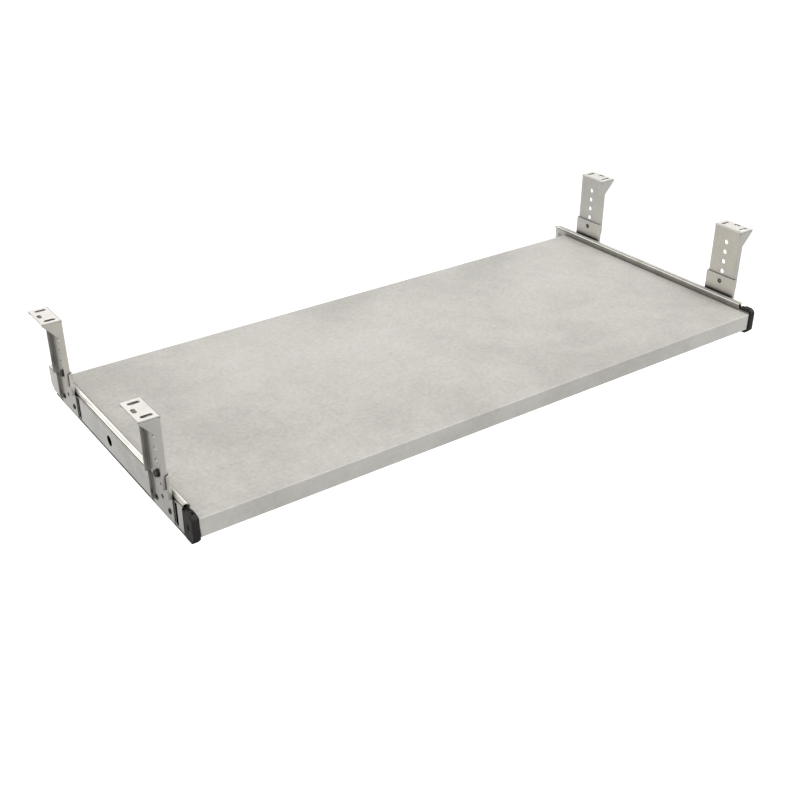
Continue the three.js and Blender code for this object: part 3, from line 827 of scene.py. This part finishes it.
def lower_bracket(side, station):
    """A plate with a short flange in front, a long one behind and a flat foot on the rail."""
    box = Reach(f"lower_bracket_{side}_{station}", side)
    half = (box.y1 - box.y0) / 2
    across = side_path(half, box.s0 + BRACKET_SHEET / 2, box.s1)
    reach = across.length / 2
    flat = half - BRACKET_SHEET / 2 - BRACKET_BEND
    tab_foot = box.z1 - LOWER_TAB_HEIGHT
    flange_foot = box.z0 + LOWER_FLANGE_LIFT
    shape = outline(
        (-half, box.z0, 1.5), (half, box.z0, 1.5), (half, flange_foot - TAB_NOTCH, 1),
        (flat - FOLD_EASE, flange_foot - TAB_NOTCH), (flat - FOLD_EASE, flange_foot),
        (reach, flange_foot, SHEET_CORNER), (reach, box.z1, 1.2), (-reach, box.z1, 1.2),
        (-reach, tab_foot, SHEET_CORNER), (-flat + FOLD_EASE, tab_foot),
        (-flat + FOLD_EASE, tab_foot - TAB_NOTCH), (-half, tab_foot - TAB_NOTCH, 1))
    bolt = Reach(f"height_bolt_{side}_{station}", side)
    rivet_z = BOARD_TOP - RIVET_DROP
    holes = [circle(0, bolt.z, HEIGHT_HOLE_RADIUS)]
    holes += [circle(end * RIVET_SPAN / 2, rivet_z, RIVET_HOLE_RADIUS) for end in (-1, 1)]
    holes.append(circle(0, BOARD_TOP - SPARE_HOLE_DROP, SPARE_HOLE_RADIUS))
    work = blank(shape, holes, BRACKET_SHEET)
    cut_across(work, 0, [u - reach for u in across.stops[1:-1]])
    s_middle = box.s0 + BRACKET_SHEET / 2
    for v in work.verts:
        a, b, w = v.co
        if b < (tab_foot if a < 0 else flange_foot) - 0.9 * TAB_NOTCH:
            v.co = (s_middle + w, box.y + a, b)
        else:
            place = across.at(a + reach, w)
            v.co = (place.y, box.y + place.x, b)
    return work


def pointer_mark(side, station):
    """A small dark triangular pointer: a thin sheet laid on the lower bracket's outer face."""
    box = Reach(f"lower_bracket_{side}_{station}", side)
    top = box.z1 - ARROW_DROP
    work = blank(outline((-ARROW_SIZE / 2, 0), (ARROW_SIZE / 2, 0), (0, ARROW_SIZE)), [], 0.12, 0.04)
    for v in work.verts:
        v.co = (box.s0 + BRACKET_SHEET + 0.05 + v.co.z, box.y + v.co.x, top + v.co.y)
    return work


def height_bolt(side, station):
    """A hexagon head with a dished middle, and a plain-ended shank."""
    box = Reach(f"height_bolt_{side}_{station}", side)
    upper = Reach(f"upper_bracket_{side}_{station}", side)
    seat = upper.s0 + BRACKET_SHEET
    height = box.s1 - seat - 0.02
    corner = (box.z1 - box.z0) / 2
    across = (box.y1 - box.y0) / 2
    corner_radius = max(corner, across) - 0.02
    dish = 2.5
    first = math.pi / 2 if corner > across else 0
    hexagon = [Vector((corner_radius * math.cos(first + k * math.pi / 3),
                       corner_radius * math.sin(first + k * math.pi / 3))) for k in range(6)]
    head = stood_outboard(blank(hexagon, [circle(0, 0, dish, 32)], height, 0.35),
                          seat + height / 2, box.y, box.z)
    shank = 2.35
    top = seat + height - 0.9
    low = box.s0 + 0.03
    profile = [(0, top + 0.3), (1.2, top + 0.22), (dish - 0.02, top), (dish - 0.02, seat + 0.4),
               (shank, seat + 0.3), (shank, low + 0.7), (shank - 0.4, low + 0.2), (1.0, low + 0.03),
               (0, low)]
    rod = stood_outboard(lathe(profile), 0, box.y, box.z)
    return joined(head, rod)


def tubular_rivet(node, side):
    """A hollow rivet: a rolled head outside the bracket and a curled rim inside the rail."""
    box = Reach(node, side)
    head = (box.z1 - box.z0) / 2 - 0.02
    bore, shank = 1.3, 2.0
    s_low, s_high = box.s0 + 0.03, box.s1 - 0.03
    head_low, rim_high = s_high - 0.72, s_low + 0.46
    profile = [(bore, s_low + 0.2), (bore + 0.25, s_low), (head - 0.35, s_low), (head, s_low + 0.2),
               (head, rim_high), (shank, rim_high), (shank, head_low), (head, head_low),
               (head, s_high - 0.4), (head - 0.15, s_high - 0.15), (head - 0.6, s_high),
               (bore + 0.3, s_high - 0.02), (bore, s_high - 0.3)]
    return stood_outboard(lathe(profile), 0, box.y, box.z)


def add_brackets(looks):
    for side in SIDES:
        for station in STATIONS:
            tail = f"{side}_{station}"
            rows = [
                ("upper_bracket", upper_bracket(side, station), "bracket_steel"),
                ("lower_bracket", lower_bracket(side, station), "bracket_steel"),
                ("height_bolt", height_bolt(side, station), "dark_steel"),
                ("rivet_fore", tubular_rivet(f"rivet_fore_{tail}", side), "dark_steel"),
                ("rivet_aft", tubular_rivet(f"rivet_aft_{tail}", side), "dark_steel"),
            ]
            for stem, work, slot_name in rows:
                node = f"{stem}_{tail}"
                look = looks["bolt" if stem == "height_bolt" else slot_name]
                thing = piece(f"fine_{node}", work, look, "hanging_frame", side)
                stands_for(thing, slot_name, node)
            mark = piece(f"fine_pointer_{tail}", pointer_mark(side, station), looks["dark_steel"],
                         "hanging_frame", side)


# ------------------------------------------------------------------ camera, floor and light

LENS = 50
CAMERA_PITCH = 29.4
CAMERA_TURN = 35.3
CAMERA_DISTANCE = 1.2067
AIM_FROM_MIDDLE = Vector((-0.0440, -0.0258, -0.0798))
FLOOR_DROP = 0.8
FLOOR_HALF = 14
FLOOR_GLOW = 0.35
DOME = ((0.0, 0.05), (0.12, 0.14), (0.26, 0.52), (0.39, 0.58), (0.43, 0.06), (0.58, 0.06),
        (0.62, 0.9), (0.7, 1.25), (0.78, 1.25), (0.84, 0.45), (1.0, 0.4))
DOME_STRENGTH = 1.08


def add_camera():
    camera = bpy.data.objects.new("camera", bpy.data.cameras.new("camera"))
    camera.data.lens = LENS
    camera.data.clip_start = 0.01
    camera.data.clip_end = 100
    pitch, turn = math.radians(CAMERA_PITCH), math.radians(CAMERA_TURN)
    ahead = Vector((math.sin(turn) * math.cos(pitch), math.cos(turn) * math.cos(pitch), -math.sin(pitch)))
    camera.location = (cad_box[0] + cad_box[1]) / 2 + AIM_FROM_MIDDLE - ahead * CAMERA_DISTANCE
    camera.rotation_euler = ahead.to_track_quat("-Z", "Y").to_euler()
    bpy.context.scene.collection.objects.link(camera)
    bpy.context.scene.camera = camera


def add_floor():
    """A white floor that the camera sees, but that neither lights the object nor shows in its metal."""
    height = cad_box[0].z - FLOOR_DROP
    corners = [(x * FLOOR_HALF, y * FLOOR_HALF, height) for x, y in ((-1, -1), (1, -1), (1, 1), (-1, 1))]
    mesh = bpy.data.meshes.new("floor")
    mesh.from_pydata(corners, [], [(0, 1, 2, 3)])
    look = Look("pale_floor", 0.8)
    look.shader.inputs["Emission Color"].default_value = (1, 1, 1, 1)
    look.shader.inputs["Emission Strength"].default_value = FLOOR_GLOW
    tone = look.ramp(look.noise(3, 2, 0.5), (0.3, srgb(252, 252, 252)), (0.7, srgb(254, 254, 254)))
    mesh.materials.append(look.finish(tone))
    floor = bpy.data.objects.new("floor", mesh)
    bpy.context.scene.collection.objects.link(floor)
    floor.visible_diffuse = False
    floor.visible_glossy = False


def add_light(name, place, aim, size, power):
    light = bpy.data.lights.new(name, "AREA")
    light.size = size
    light.energy = power
    thing = bpy.data.objects.new(name, light)
    thing.location = place
    thing.rotation_euler = (Vector(aim) - Vector(place)).to_track_quat("-Z", "Y").to_euler()
    bpy.context.scene.collection.objects.link(thing)
    return thing


def add_studio():
    """A dome brightest partway up, with a dark band at the horizon that sheet-metal bends reflect.

    A key light stands at the right. The overhead and front lamps aren't seen in reflections.
    """
    world = bpy.data.worlds.new("studio")
    world.use_nodes = True
    nodes, links = world.node_tree.nodes, world.node_tree.links
    way = nodes.new("ShaderNodeSeparateXYZ")
    links.new(nodes.new("ShaderNodeTexCoord").outputs["Generated"], way.inputs["Vector"])
    rise = nodes.new("ShaderNodeMapRange")
    rise.inputs["From Min"].default_value = -1
    links.new(way.outputs["Z"], rise.inputs["Value"])
    dome = nodes.new("ShaderNodeValToRGB")
    set_stops(dome, DOME)
    links.new(rise.outputs["Result"], dome.inputs["Fac"])
    links.new(dome.outputs["Color"], nodes["Background"].inputs["Color"])
    nodes["Background"].inputs["Strength"].default_value = DOME_STRENGTH
    bpy.context.scene.world = world
    bpy.context.scene.view_settings.view_transform = "Standard"
    add_light("key", (1.4, -0.9, 2.6), (0, 0, -0.1), 1.6, 17)
    add_light("overhead", (0.3, 0.1, 3), (0, 0, 0), 3, 29).visible_glossy = False
    add_light("front_fill", (0.9, -2.4, 0.2), (0, 0, -0.1), 1.5, 7).visible_glossy = False


add_camera()
finishes = make_looks()
dress_board(finishes)
add_edge_bands(finishes)
add_slides(finishes)
add_brackets(finishes)
add_floor()
add_studio()
